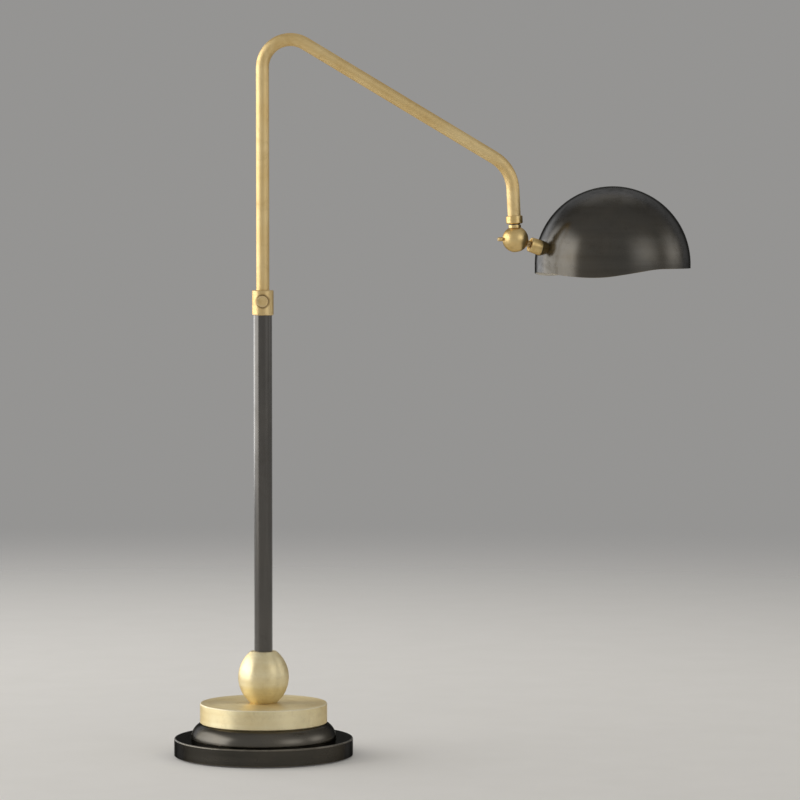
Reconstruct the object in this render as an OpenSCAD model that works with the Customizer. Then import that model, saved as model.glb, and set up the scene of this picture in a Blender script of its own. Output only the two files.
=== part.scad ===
// Task lamp with a sliding, swinging arm and a tilting dome shade.
// The origin is on the floor at the centre of the foot, +X runs along the arm, +Z is up, sizes are in mm.

/* [Foot] */
// Diameter of the bronze foot
foot_d = 180; // [160:1:220]
// Height of the bronze foot
foot_h = 17; // [15:0.5:26]
// Rounding of the foot's top edge
foot_edge_r = 1.5; // [0.5:0.1:3]
// Wall between the foot's side and its hollow
foot_wall = 10; // [7:0.5:14]
// Thickness of the foot's top
foot_top_t = 4; // [3:0.5:6]
// Thickness of the felt pad
felt_t = 2; // [1.5:0.1:4]
// How far the felt stands out below the foot
felt_proud = 1; // [0.5:0.1:1.4]
// Thickness of the bottom plate
plate_t = 2; // [1.5:0.1:3]
// Bore of the cord gland
gland_bore_d = 6.4; // [5:0.1:7]

/* [Plinth] */
// How far the moulding stands out beyond the plinth
moulding_out = 9; // [4:0.5:15]
// Height of the moulding
moulding_h = 15; // [12:0.5:18]
// Radius of the moulding's rounded side
moulding_r = 16.4; // [15:0.1:20]
// Diameter of the brass plinth
plinth_d = 128; // [120:1:134]
// Height of the brass plinth
plinth_h = 20; // [14:0.5:28]
// Side wall of the plinth
plinth_wall = 4; // [2.5:0.5:6]
// Top wall of the plinth
plinth_top_t = 3; // [2:0.5:5]
// Bevel on the plinth's edges
plinth_bevel = 0.8; // [0.3:0.1:1.5]

/* [Knop] */
// Greatest diameter of the knop
knop_d = 51; // [44:1:64]
// Height of the knop
knop_h = 52; // [44:1:60]
// Diameter of the knop's flat ends
knop_flat_d = 26; // [24:1:34]
// Wall of the hollow knop
knop_wall = 3; // [2:0.5:5]

/* [Stem] */
// Outer diameter of the stem tube
stem_d = 18.5; // [17:0.5:24]
// Wall of the stem tube
stem_wall = 1.25; // [1:0.05:1.6]
// Length of stem that shows between knop and collar
stem_show = 338; // [280:1:420]
// Outer diameter of the lamp pipe
pipe_d = 10; // [9:0.5:10.5]
// Bore of the lamp pipe
pipe_bore_d = 7.2; // [6:0.1:7.5]

/* [Collar] */
// Wall of the collar outside the stem
collar_wall = 1.5; // [1.5:0.05:4]
// Height of the collar
collar_h = 25; // [24:1:36]
// Depth that the stem enters the collar
collar_grip = 10; // [6:0.5:10.5]
// Bevel on the collar's edges
collar_bevel = 0.8; // [0.3:0.1:1.2]
// Height of the thumb screw above the collar's foot
thumb_up = 14; // [13:0.5:17]
// Diameter of the thumb knob
thumb_d = 11.5; // [9:0.5:16]
// Thickness of the thumb knob
thumb_t = 4; // [3:0.5:8]
// Gap between the collar and the thumb knob
thumb_gap = 1.5; // [1:0.1:4]
// Diameter of the thumb screw's shank
thumb_shank_d = 4; // [3:0.5:5]

/* [Arm] */
// Outer diameter of the arm tube
arm_d = 13; // [11:0.1:13.4]
// Wall of the arm tube
arm_wall = 1; // [0.8:0.05:1.2]
// Height from the collar's top to the upper corner of the arm
arm_rise = 271.5; // [250:0.5:340]
// Distance from the stem's axis to the lower corner of the arm
arm_reach = 249; // [200:1:320]
// Slope of the arm below level, in degrees
arm_slope = 31; // [20:1:40]
// Radius of the upper bend at the tube's centre line
bend_top_r = 28; // [24:1:45]
// Radius of the lower bend at the tube's centre line
bend_low_r = 39; // [25:1:45]
// Length from the lower corner to the ball's centre
drop_len = 71; // [66:0.5:100]
// Lean of the drop from upright, in degrees
drop_lean = 3; // [0:0.5:8]
// Travel of the arm upwards from rest
lift_up = 50; // [30:1:60]
// Height of the guide bush inside the stem
bush_h = 20; // [12:1:30]

/* [Ball joint] */
// Diameter of the ball
ball_d = 26; // [25:0.5:32]
// Diameter of the bead on the neck above the ball
neck_d = 12.4; // [12:0.1:16]
// Height of the bead on the ball
neck_h = 3; // [2:0.1:8]
// Wall of the ferrule outside the arm
ferrule_wall = 1.75; // [1:0.05:3]
// Height of the ferrule
ferrule_h = 8; // [6:0.5:14]
// Diameter of the tilt drum inside the ball
drum_d = 15; // [14:0.5:15.5]
// Width of the tilt drum
drum_w = 8; // [7.5:0.1:8.5]
// Diameter of the pivot screw
pivot_d = 4; // [3:0.5:4]
// Diameter of the tilt lock screw's head
lock_head_d = 4; // [4:0.1:6]
// Length that the tilt lock screw stands out of the ball
lock_out = 5.4; // [4:0.1:10]
// Turn of the head away from the arm's plane, in degrees
head_turn = 16; // [-30:1:30]
// Tilt of the shade upwards from rest, in degrees
tilt_up = 25; // [10:1:28]
// Tilt of the shade downwards from rest, in degrees
tilt_down = 60; // [30:1:70]

/* [Shade] */
// Diameter of the dome
shade_d = 157; // [148:1:190]
// Wall of the dome
shade_wall = 1.2; // [0.8:0.1:2]
// Depth of the front rim below the dome's centre
rim_front = 4; // [2:0.5:8]
// Depth of the lowest part of the rim below the dome's centre
rim_low = 12.5; // [10:0.5:20]
// Place of the lowest part of the rim behind the dome's centre
rim_low_back = 44; // [30:1:50]
// Radius of the rim's low curve
rim_low_r = 130; // [90:1:200]
// Radius of the curve from the rim's slope to its level front
rim_front_r = 130; // [100:1:180]
// Steepest slope of the rim, in degrees
rim_slope = 9; // [8:0.5:10]
// Slope of the shade's stem below level, in degrees
cup_slope = 18.5; // [10:0.5:25]
// Gap between the ball and the tapered cup
cup_gap = 3; // [1.5:0.1:5]
// Length of the tapered cup along its axis
cup_len = 11.6; // [9:0.1:25]
// Diameter of the cup at the ball
cup_small_d = 14.6; // [12:0.1:16]
// Diameter of the cup at the dome
cup_big_d = 15.4; // [14:0.1:20]
// Height of the dome's centre above the cup's axis
dome_above = 8.6; // [0:0.1:15]
// Diameter of the nipple through cup and shade
nipple_d = 6.5; // [5:0.1:6.6]
// Bore of the nipple
nipple_bore_d = 3.4; // [2.5:0.1:3.6]

/* [Lampholder] */
// Diameter of the lampholder
holder_d = 24; // [20:0.5:26]
// Length of the lampholder
holder_len = 30; // [28:1:36]
// Height of the lampholder's axis above the dome's centre
holder_up = 32; // [29:0.5:34]
// Distance from the dome's centre back to the lampholder's bracket
holder_back = 50; // [44:1:54]
// Diameter of the bulb's screw cap
bulb_cap_d = 14; // [12:0.5:14]
// Diameter of the bulb
bulb_d = 45; // [30:1:46]
// Length of the bulb's glass from the holder's mouth
bulb_len = 56; // [50:1:60]
// Diameter of the switch key
key_d = 9; // [7:0.5:11]

/* [Hidden] */

$fn = 96;

// Clearances
fit = 0.05;      // radial clearance of a fixed or running fit
gap = 0.3;       // space between faces that move past each other
over = 1;        // how far a cut runs past the face it opens

// Heights of the stack on the floor
foot_z = felt_proud;
foot_top_z = foot_z + foot_h;
plate_z = felt_t;
weight_z = plate_z + plate_t;
plinth_z = foot_top_z + moulding_h;
knop_z = plinth_z + plinth_h;
stem_z = knop_z + knop_h;
collar_z = stem_z + stem_show;
stem_top_z = collar_z + collar_grip;
collar_top_z = collar_z + collar_h;

// Foot, weight and the pieces under them
hollow_r = foot_d / 2 - foot_wall;
hollow_z = foot_top_z - foot_top_t;
plate_r = hollow_r + 4;
felt_r = plate_r - 2;
felt_gap = 0.2;
moulding_d = plinth_d + 2 * moulding_out;
core_r = plinth_d / 2 - 6;
core_top_z = plinth_z - 2;
weight_gap = 0.5;
weight_r = hollow_r - weight_gap;
nut_af = 17;
nut_h = 6;
washer_r = 12;
washer_t = 1.5;
nut_recess_r = 14.5;
nut_z = weight_z + 2;
nut_recess_top_z = nut_z + nut_h + washer_t;
plate_screw_count = 3;
plate_screw_r = 2;
plate_screw_head_r = 3.8;
plate_screw_len = 7;
plate_screw_place_r = (core_r + weight_r) / 2;

// Cord gland at the back of the foot
gland_wall = 1.8;
gland_r = gland_bore_d / 2 + gland_wall;
gland_flange_r = gland_r + 1.4;
gland_flange_t = 2;
gland_z = foot_z + foot_h / 2;
gland_seat_y = foot_d / 2 - 0.7;
cord_way_w = gland_bore_d + 3;

// Stem, plug and pipe
stem_r = stem_d / 2;
stem_bore_r = stem_r - stem_wall;
plug_h = 20;
pipe_r = pipe_d / 2;
pipe_low_z = nut_z - 0.5;
pipe_top_z = stem_z + plug_h - 3;
pipe_hole_r = pipe_r + gap;

// Collar and clamp
collar_r = stem_r + collar_wall;
collar_lip_t = 1.5;
arm_r = arm_d / 2;
arm_bore_r = arm_r - arm_wall;
liner_r = stem_bore_r;
liner_top_z = collar_top_z - collar_lip_t;
thumb_z = collar_z + thumb_up;
thumb_r = thumb_d / 2;
shank_r = thumb_shank_d / 2;
pad_r = shank_r - 0.1;
pad_in = arm_r + 0.1;
pad_out = liner_r + 0.4;
shank_in = pad_out + fit;
knob_in = collar_r + thumb_gap;
knurl_count = 40;
knurl_depth = 0.25;
knob_dish_r = thumb_r - 1.1;
knob_dish = 0.6;

// Arm
corner_z = collar_top_z + arm_rise;
top_turn = 90 + arm_slope;
low_turn = 90 - arm_slope - drop_lean;
top_tangent = bend_top_r * tan(top_turn / 2);
low_tangent = bend_low_r * tan(low_turn / 2);
slope_run = arm_reach / cos(arm_slope);
slope_len = slope_run - top_tangent - low_tangent;
bend_z = corner_z - top_tangent;
corner2_z = corner_z - arm_reach * tan(arm_slope);
bend_low_x = arm_reach - low_tangent * cos(arm_slope) - bend_low_r * sin(arm_slope);
bend_low_z = corner2_z + low_tangent * sin(arm_slope) - bend_low_r * cos(arm_slope);
bend_thin = 0.03;  // the tube draws in this much at a bend
bend_lap = 0.5;    // the straight lengths run this far into the bends
ball_x = arm_reach + drop_len * sin(drop_lean);
ball_z = corner2_z - drop_len * cos(drop_lean);
ring_h = 2;
bush_top_z = stem_top_z - lift_up - gap - ring_h;
bush_z = bush_top_z - bush_h;
arm_low_z = bush_z - ring_h - fit;

// Ball joint, heights along the drop above the ball's centre
ball_r = ball_d / 2;
neck_r = neck_d / 2;
neck_top = sqrt(ball_r * ball_r - neck_r * neck_r) + neck_h;
spindle_r = arm_bore_r - 1.5;
spindle_bore_r = spindle_r - 1.6;
swivel_washer_t = 0.9;
ferrule_z = neck_top + swivel_washer_t + 2 * fit;
ferrule_floor = 2.4;
ferrule_r = arm_r + ferrule_wall;
arm_end = ferrule_z + ferrule_floor;
spindle_nut_z = arm_end + gap;
spindle_nut_h = 3;
spindle_nut_r = arm_bore_r - 0.4;
spindle_top = spindle_nut_z + spindle_nut_h + 1;

// Tilt joint, distances from the ball's centre
drum_r = drum_d / 2;
pocket_r = drum_r + 0.1;
tilt_washer_t = 0.8;
washer_in = drum_w / 2 + fit;
pocket_y = washer_in + tilt_washer_t + fit;
cap_r = pocket_r + 1.4;
cap_y = pocket_y + fit;
pivot_r = pivot_d / 2;
pivot_head_r = 3.6;
pivot_head_y = 9;
pivot_head_t = 2.2;
pivot_tip_y = -9.3;
nipple_r = nipple_d / 2;
nipple_in = 5.6;
drum_hole_in = 4.2;
slot_half_w = nipple_r + 0.15;
slot_spare = 2;
groove_half_w = 1.2;
groove_r = 5;
lock_r = 1.75;
lock_head_in = ball_r + 0.4;
spigot_r = spindle_r + 0.4;
spigot_in = pocket_r + 0.6;

// Shade, in the head's frame with its origin at the ball's centre
shade_r = shade_d / 2;
shade_in_r = shade_r - shade_wall;
cup_in = ball_r + cup_gap;
cup_out = cup_in + cup_len;
dome_along = cup_out + sqrt(shade_r * shade_r - dome_above * dome_above);
dome_x = dome_along * cos(cup_slope) + dome_above * sin(cup_slope);
dome_z = dome_above * cos(cup_slope) - dome_along * sin(cup_slope);
nipple_flange_r = 5;
nipple_flange_t = 1.9;
saddle_r = 8.5;
saddle_along = cup_out + shade_wall + 2.8;
strap_t = 1.5;
shade_nut_af = 10;
shade_nut_h = 4;
strap_along = saddle_along + fit;
shade_nut_along = strap_along + strap_t + fit;
nipple_out = shade_nut_along + shade_nut_h + 1;

// Rim line, from the low curve over a straight slope to the level front
rim_low_end = rim_low_r * sin(rim_slope);
rim_front_run = rim_front_r * sin(rim_slope);
rim_curve_rise = (rim_low_r + rim_front_r) * (1 - cos(rim_slope));
rim_slope_run = (rim_low - rim_front - rim_curve_rise) / tan(rim_slope);
rim_front_x = rim_low_end + rim_slope_run + rim_front_run - rim_low_back;
rim_steps = 16;

// Lampholder and bulb, in a frame at the holder's mounting face with +X towards the bulb
holder_x = dome_x - holder_back;
holder_z = dome_z + holder_up;
holder_r = holder_d / 2;
holder_wall = 3.4;
holder_bore_r = bulb_cap_d / 2 + 0.2;
holder_screw_r = 1.5;
holder_screw_y = (holder_bore_r + holder_r) / 2;
holder_screw_len = 7;
strap_w = holder_d;
contact_r = 2.5;
contact_t = 2;
bulb_cap_in = holder_wall + contact_t + fit;
bulb_cap_len = holder_len - bulb_cap_in + 2;
bulb_r = bulb_d / 2;
bulb_wall = 0.9;
bulb_neck_r = bulb_cap_d / 2 - 0.6;
bulb_mid = holder_len + bulb_len - bulb_r;
key_r = key_d / 2;
key_x = 18;
key_shaft_r = 2;
key_boss_r = 4.5;
key_boss_y = holder_r + 2.5;
key_in = key_boss_y + gap;
key_len = 7;
key_flutes = 10;

// Colours
bronze = [0.20, 0.19, 0.18];
brass = [0.78, 0.64, 0.38];
steel = [0.62, 0.63, 0.65];
iron = [0.24, 0.24, 0.25];
nylon = [0.90, 0.88, 0.82];
felt = [0.10, 0.10, 0.10];
phenolic = [0.08, 0.08, 0.08];
opal = [0.95, 0.94, 0.90];

// Ring of revolution between two radii
module ring(r_out, r_in, h) {
    difference() {
        cylinder(r = r_out, h = h);
        translate([0, 0, -over]) cylinder(r = r_in, h = h + 2 * over);
    }
}

// Round disc with bevelled top and bottom edges
module bevelled_disc(r, h, bevel) {
    rotate_extrude()
        polygon([[0, 0], [r - bevel, 0], [r, bevel], [r, h - bevel], [r - bevel, h], [0, h]]);
}

// Hexagonal nut with a round hole
module hex_nut(across, h, hole_r) {
    difference() {
        cylinder(r = across / 2 / cos(30), h = h, $fn = 6);
        translate([0, 0, -over]) cylinder(r = hole_r, h = h + 2 * over);
    }
}

// Disc with fine teeth round its edge
module toothed_disc(r, h, count, depth) {
    linear_extrude(h)
        polygon([for (i = [0 : 2 * count - 1])
            let (a = 180 * i / count, rr = r - depth * (i % 2))
            [rr * cos(a), rr * sin(a)]]);
}

// Cylinder along +Y from y0 to y1
module along_y(r, y0, y1) {
    translate([0, y0, 0]) rotate([-90, 0, 0]) cylinder(r = r, h = y1 - y0);
}

// Cylinder along +X from x0 to x1
module along_x(r, x0, x1) {
    translate([x0, 0, 0]) rotate([0, 90, 0]) cylinder(r = r, h = x1 - x0);
}

// Frame at the ball's centre with +Z up along the drop of the arm
module at_drop() {
    translate([ball_x, 0, ball_z]) rotate([0, -drop_lean, 0]) children();
}

// Frame at the ball's centre, turned with the head, +X towards the shade and +Z up
module at_head() {
    translate([ball_x, 0, ball_z]) rotate([0, 0, head_turn]) children();
}

// Frame in the head with +Z along the axis of cup and nipple
module at_cup_axis() {
    at_head() rotate([0, 90 + cup_slope, 0]) children();
}

// Frame at the dome's centre
module at_dome() {
    at_head() translate([dome_x, 0, dome_z]) children();
}

// Frame at the lampholder's mounting face, +X towards the bulb
module at_holder() {
    at_head() translate([holder_x, 0, holder_z]) children();
}

module felt_pad() {
    color(felt) cylinder(r = felt_r, h = felt_t);
}

module plate_screw_places() {
    for (i = [0 : plate_screw_count - 1])
        rotate([0, 0, 30 + 360 * i / plate_screw_count])
            translate([plate_screw_place_r, 0, plate_z])
                children();
}

module bottom_plate() {
    color(steel) difference() {
        translate([0, 0, plate_z]) cylinder(r = plate_r, h = plate_t);
        plate_screw_places() translate([0, 0, -over])
            cylinder(r = plate_screw_head_r + fit, h = plate_t + 2 * over);
    }
}

module plate_screws() {
    color(steel) plate_screw_places() {
        cylinder(r = plate_screw_head_r, h = plate_t);
        cylinder(r = plate_screw_r, h = plate_t + plate_screw_len);
    }
}

module foot_profile() {
    difference() {
        union() {
            translate([0, foot_z]) square([foot_d / 2 - foot_edge_r, foot_h]);
            translate([0, foot_z]) square([foot_d / 2, foot_h - foot_edge_r]);
            translate([foot_d / 2 - foot_edge_r, foot_top_z - foot_edge_r]) circle(r = foot_edge_r);
        }
        translate([0, foot_z - over]) square([plate_r + felt_gap, weight_z - foot_z + over]);
        square([hollow_r, hollow_z]);
        square([core_r + weight_gap, foot_top_z + over]);
    }
}

module foot() {
    color(bronze) difference() {
        rotate_extrude() foot_profile();
        translate([0, 0, gland_z]) along_y(gland_r + fit, hollow_r - over, foot_d / 2 + over);
        translate([0, 0, gland_z]) along_y(gland_flange_r + fit, gland_seat_y, foot_d / 2 + over);
    }
}

module base_weight() {
    color(iron) difference() {
        union() {
            translate([0, 0, weight_z]) cylinder(r = weight_r, h = hollow_z - weight_gap - weight_z);
            translate([0, 0, weight_z]) cylinder(r = core_r, h = core_top_z - weight_z);
        }
        cylinder(r = pipe_hole_r, h = core_top_z + over);
        translate([0, 0, weight_z - over])
            cylinder(r = nut_recess_r, h = nut_recess_top_z - weight_z + over);
        translate([-cord_way_w / 2, 0, weight_z - over])
            cube([cord_way_w, foot_d, hollow_z - weight_z + over]);
        plate_screw_places() cylinder(r = plate_screw_r + fit, h = plate_t + plate_screw_len + gap);
    }
}

module pipe_washer() {
    color(steel) translate([0, 0, nut_z + nut_h]) ring(washer_r, pipe_r + fit, washer_t);
}

module pipe_nut() {
    color(steel) translate([0, 0, nut_z]) hex_nut(nut_af, nut_h, pipe_r + fit);
}

module lamp_pipe() {
    color(steel) translate([0, 0, pipe_low_z]) ring(pipe_r, pipe_bore_d / 2, pipe_top_z - pipe_low_z);
}

module cord_gland() {
    color(phenolic) translate([0, 0, gland_z]) difference() {
        union() {
            along_y(gland_r, hollow_r, gland_seat_y + gland_flange_t);
            along_y(gland_flange_r, gland_seat_y, gland_seat_y + gland_flange_t);
        }
        along_y(gland_bore_d / 2, hollow_r - over, foot_d / 2 + gland_flange_t + over);
    }
}

module moulding() {
    color(bronze) rotate_extrude() difference() {
        intersection() {
            union() {
                translate([moulding_d / 2 - moulding_r, foot_top_z]) circle(r = moulding_r);
                translate([0, foot_top_z]) square([moulding_d / 2 - moulding_r, moulding_h]);
            }
            translate([0, foot_top_z]) square([moulding_d / 2, moulding_h]);
        }
        square([core_r + weight_gap, plinth_z + over]);
    }
}

module plinth() {
    inner_r = plinth_d / 2 - plinth_wall;
    color(brass) difference() {
        translate([0, 0, plinth_z]) bevelled_disc(plinth_d / 2, plinth_h, plinth_bevel);
        translate([0, 0, plinth_z - over]) cylinder(r = inner_r, h = plinth_h - plinth_top_t + over);
        translate([0, 0, plinth_z]) cylinder(r = pipe_hole_r, h = plinth_h + over);
    }
}

// Half outline of the knop, shrunk by a wall: one arc whose centre lies beyond the axis
module knop_half(wall) {
    side = knop_d / 2;
    end = knop_flat_d / 2;
    bulge = side - end;
    arc_r = (bulge * bulge + knop_h * knop_h / 4) / (2 * bulge);
    intersection() {
        translate([side - arc_r, knop_h / 2]) circle(r = arc_r - wall, $fn = 180);
        translate([0, wall]) square([side, knop_h - 2 * wall]);
    }
}

module knop() {
    color(brass) translate([0, 0, knop_z]) difference() {
        rotate_extrude() knop_half(0);
        rotate_extrude() knop_half(knop_wall);
        translate([0, 0, -over]) cylinder(r = pipe_hole_r, h = knop_h + 2 * over);
    }
}

module stem_plug() {
    color(steel) translate([0, 0, stem_z]) ring(stem_bore_r - fit, pipe_r + fit, plug_h);
}

module stem_tube() {
    color(bronze) translate([0, 0, stem_z]) ring(stem_r, stem_bore_r, stem_top_z - stem_z);
}

// Round hole along -Y for the clamp, through one side only
module clamp_hole(r) {
    translate([0, 0, thumb_z]) along_y(r, -collar_r - over, 0);
}

module collar() {
    color(brass) difference() {
        translate([0, 0, collar_z]) bevelled_disc(collar_r, collar_h, collar_bevel);
        translate([0, 0, collar_z - over]) cylinder(r = stem_r + fit, h = collar_grip + over);
        translate([0, 0, collar_z]) cylinder(r = liner_r + fit, h = liner_top_z - collar_z);
        translate([0, 0, collar_z]) cylinder(r = arm_r + gap, h = collar_h + over);
        clamp_hole(shank_r + fit);
    }
}

module collar_liner() {
    color(nylon) difference() {
        translate([0, 0, stem_top_z]) ring(liner_r, arm_r + fit, liner_top_z - stem_top_z - fit);
        clamp_hole(shank_r + fit);
    }
}

module clamp_pad() {
    color(nylon) translate([0, 0, thumb_z]) along_y(pad_r, -pad_out, -pad_in);
}

module thumb_shank() {
    color(steel) translate([0, 0, thumb_z]) along_y(shank_r, -knob_in, -shank_in);
}

module thumb_knob() {
    color(brass) translate([0, -knob_in, thumb_z]) rotate([90, 0, 0]) difference() {
        toothed_disc(thumb_r, thumb_t, knurl_count, knurl_depth);
        translate([0, 0, thumb_t - knob_dish]) cylinder(r = knob_dish_r, h = knob_dish + over);
    }
}

module guide_bush() {
    color(nylon) translate([0, 0, bush_z]) ring(stem_bore_r - 2 * fit, arm_r + fit, bush_h);
}

module guide_rings() {
    color(steel) for (z = [bush_z - ring_h - fit, bush_top_z + fit])
        translate([0, 0, z]) ring(stem_bore_r - gap, arm_r, ring_h - fit);
}

// One bend of the arm in the XZ plane, swept clockwise down to angle low
module bend(sweep_r, tube_r, low, turn) {
    rotate([90, 0, 0]) rotate([0, 0, low])
        rotate_extrude(angle = turn) translate([sweep_r, 0]) circle(r = tube_r);
}

// Solid rod along the arm's centre line, run past both ends by extra
module arm_rod(r, extra) {
    low_z = arm_low_z - extra;
    low_end = arm_end - extra;
    bend_r = r - bend_thin;
    translate([0, 0, low_z]) cylinder(r = r, h = bend_z + bend_lap - low_z);
    translate([bend_top_r, 0, bend_z]) bend(bend_top_r, bend_r, 90 - arm_slope, top_turn);
    translate([0, 0, corner_z]) rotate([0, 90 + arm_slope, 0])
        translate([0, 0, top_tangent - bend_lap]) cylinder(r = r, h = slope_len + 2 * bend_lap);
    translate([bend_low_x, 0, bend_low_z]) bend(bend_low_r, bend_r, drop_lean, low_turn);
    at_drop() translate([0, 0, low_end])
        cylinder(r = r, h = drop_len - low_tangent + bend_lap - low_end);
}

module arm_tube() {
    color(brass) difference() {
        arm_rod(arm_r, 0);
        arm_rod(arm_bore_r, over);
    }
}

module arm_ferrule() {
    chamfer = 1;
    color(brass) at_drop() translate([0, 0, ferrule_z]) difference() {
        rotate_extrude() polygon([[0, 0], [ferrule_r - chamfer, 0], [ferrule_r, chamfer],
            [ferrule_r, ferrule_h - chamfer / 2], [ferrule_r - chamfer / 2, ferrule_h], [0, ferrule_h]]);
        translate([0, 0, -over]) cylinder(r = spindle_r + fit, h = ferrule_h);
        translate([0, 0, ferrule_floor]) cylinder(r = arm_r + fit, h = ferrule_h);
    }
}

module swivel_washer() {
    color(nylon) at_drop() translate([0, 0, neck_top + fit])
        ring(neck_r - 0.8, spindle_r + fit, swivel_washer_t);
}

module swivel_spindle() {
    color(brass) at_drop() difference() {
        union() {
            difference() {
                cylinder(r = neck_r, h = neck_top);
                sphere(r = ball_r);
            }
            translate([0, 0, spigot_in]) cylinder(r = spigot_r, h = neck_top - spigot_in);
            cylinder(r = spindle_r, h = spindle_top);
        }
        translate([0, 0, -over]) cylinder(r = spindle_bore_r, h = spindle_top + 2 * over);
        translate([0, 0, -over]) cylinder(r = ball_r, h = spigot_in + over);
    }
}

module spindle_nut() {
    color(steel) at_drop() translate([0, 0, spindle_nut_z])
        ring(spindle_nut_r, spindle_r + fit, spindle_nut_h);
}

// Fan-shaped slot in the ball, in which the nipple swings from the highest to the lowest tilt
module tilt_slot() {
    high = cup_slope - tilt_up - slot_spare;
    low = cup_slope + tilt_down + slot_spare;
    rotate([-90, 0, 0]) rotate([0, 0, high]) rotate_extrude(angle = low - high)
        translate([drum_r - 2, -slot_half_w]) square([ball_r, 2 * slot_half_w]);
    for (a = [high, low])
        rotate([0, 90 + a, 0]) cylinder(r = slot_half_w - fit, h = ball_r + over);
}

module ball_housing() {
    color(brass) difference() {
        at_head() sphere(r = ball_r);
        at_head() along_y(pocket_r, -pocket_y, ball_r + over);
        at_head() along_y(cap_r + fit, cap_y - fit, ball_r + over);
        at_head() along_y(pivot_r + fit, pivot_tip_y - fit, 0);
        at_head() along_x(lock_r + fit, -ball_r - over, 0);
        at_head() tilt_slot();
        at_drop() cylinder(r = spigot_r + fit, h = ball_r + over);
    }
}

module ball_cap() {
    color(brass) at_head() difference() {
        intersection() {
            sphere(r = ball_r);
            along_y(cap_r, cap_y, ball_r + over);
        }
        along_y(pivot_r + fit, 0, ball_r + over);
        along_y(pivot_head_r + fit, pivot_head_y, ball_r + over);
    }
}

module pivot_screw() {
    socket_af = 3;
    color(steel) at_head() difference() {
        union() {
            along_y(pivot_r, pivot_tip_y, pivot_head_y);
            along_y(pivot_head_r, pivot_head_y, pivot_head_y + pivot_head_t);
        }
        translate([0, pivot_head_y + 0.6, 0]) rotate([-90, 0, 0])
            cylinder(r = socket_af / 2 / cos(30), h = pivot_head_t, $fn = 6);
    }
}

module tilt_washers() {
    color(nylon) at_head() for (side = [-1, 1])
        rotate([-90 * side, 0, 0]) translate([0, 0, washer_in])
            ring(drum_r - 0.7, pivot_r + fit, tilt_washer_t);
}

module tilt_lock_screw() {
    bevel = 0.6;
    tip = drum_r + gap;
    color(brass) at_head() rotate([0, -90, 0]) {
        translate([0, 0, tip]) cylinder(r = lock_r, h = lock_head_in - tip);
        translate([0, 0, lock_head_in])
            bevelled_disc(lock_head_d / 2, lock_out - lock_head_in + ball_r, bevel);
    }
}

module tilt_drum() {
    color(brass) at_head() difference() {
        along_y(drum_r, -drum_w / 2, drum_w / 2);
        along_y(pivot_r + fit, -drum_w, drum_w);
        rotate([-90, 0, 0]) translate([0, 0, -groove_half_w])
            ring(drum_r + over, groove_r, 2 * groove_half_w);
        rotate([0, 90 + cup_slope, 0]) translate([0, 0, drum_hole_in])
            cylinder(r = nipple_r + fit, h = drum_r);
    }
}

module shade_nipple() {
    color(brass) at_cup_axis() difference() {
        union() {
            translate([0, 0, nipple_in]) cylinder(r = nipple_r, h = nipple_out - nipple_in);
            translate([0, 0, cup_in + fit]) cylinder(r = nipple_flange_r, h = nipple_flange_t);
        }
        translate([0, 0, nipple_in - over])
            cylinder(r = nipple_bore_d / 2, h = nipple_out - nipple_in + 2 * over);
    }
}

module shade_cup() {
    rim = 0.6;
    reach = cup_len + 4;
    grow = (cup_big_d - cup_small_d) / 2 / cup_len;
    small_r = cup_small_d / 2;
    color(brass) difference() {
        at_cup_axis() translate([0, 0, cup_in]) rotate_extrude()
            polygon([[0, 0], [small_r - rim, 0], [small_r, rim],
                [small_r + grow * reach, reach], [0, reach]]);
        at_cup_axis() cylinder(r = nipple_r + fit, h = nipple_out);
        at_cup_axis() translate([0, 0, cup_in - over])
            cylinder(r = nipple_flange_r + fit, h = over + nipple_flange_t + 3 * fit);
        at_dome() sphere(r = shade_r + fit, $fn = 180);
    }
}

// Points of the rim line in the dome's XZ plane, from the back to the front
function rim_line() = concat(
    [for (i = [0 : rim_steps])
        let (a0 = -asin((shade_r - rim_low_back + over) / rim_low_r),
            a = a0 + (rim_slope - a0) * i / rim_steps)
        [rim_low_r * sin(a) - rim_low_back, rim_low_r * (1 - cos(a)) - rim_low]],
    [for (i = [0 : rim_steps])
        let (a = rim_slope * (1 - i / rim_steps))
        [rim_front_x - rim_front_r * sin(a), rim_front_r * (cos(a) - 1) - rim_front]]);

// Everything below the rim line
module below_rim() {
    far = shade_r + over;
    rotate([90, 0, 0]) translate([0, 0, -far]) linear_extrude(2 * far)
        polygon(concat([[-far, -far]], rim_line(), [[far, -rim_front], [far, -far]]));
}

// Dome of radius r with a straight skirt down past the rim
module dome(r, skirt) {
    rotate_extrude($fn = 180) {
        intersection() {
            circle(r = r, $fn = 180);
            square([r, r]);
        }
        translate([0, -skirt]) square([r, skirt]);
    }
}

module shade() {
    skirt = rim_low + 2;
    color(bronze) difference() {
        at_dome() difference() {
            dome(shade_r, skirt);
            dome(shade_in_r, skirt + over);
            below_rim();
        }
        at_cup_axis() cylinder(r = nipple_r + fit, h = nipple_out);
    }
}

module saddle_washer() {
    color(steel) difference() {
        intersection() {
            at_cup_axis() translate([0, 0, cup_out - over])
                cylinder(r = saddle_r, h = saddle_along - cup_out + over);
            at_dome() sphere(r = shade_in_r - fit, $fn = 180);
        }
        at_cup_axis() cylinder(r = nipple_r + fit, h = nipple_out);
    }
}

module shade_nut() {
    color(steel) at_cup_axis() translate([0, 0, shade_nut_along])
        hex_nut(shade_nut_af, shade_nut_h, nipple_r + fit);
}

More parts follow.
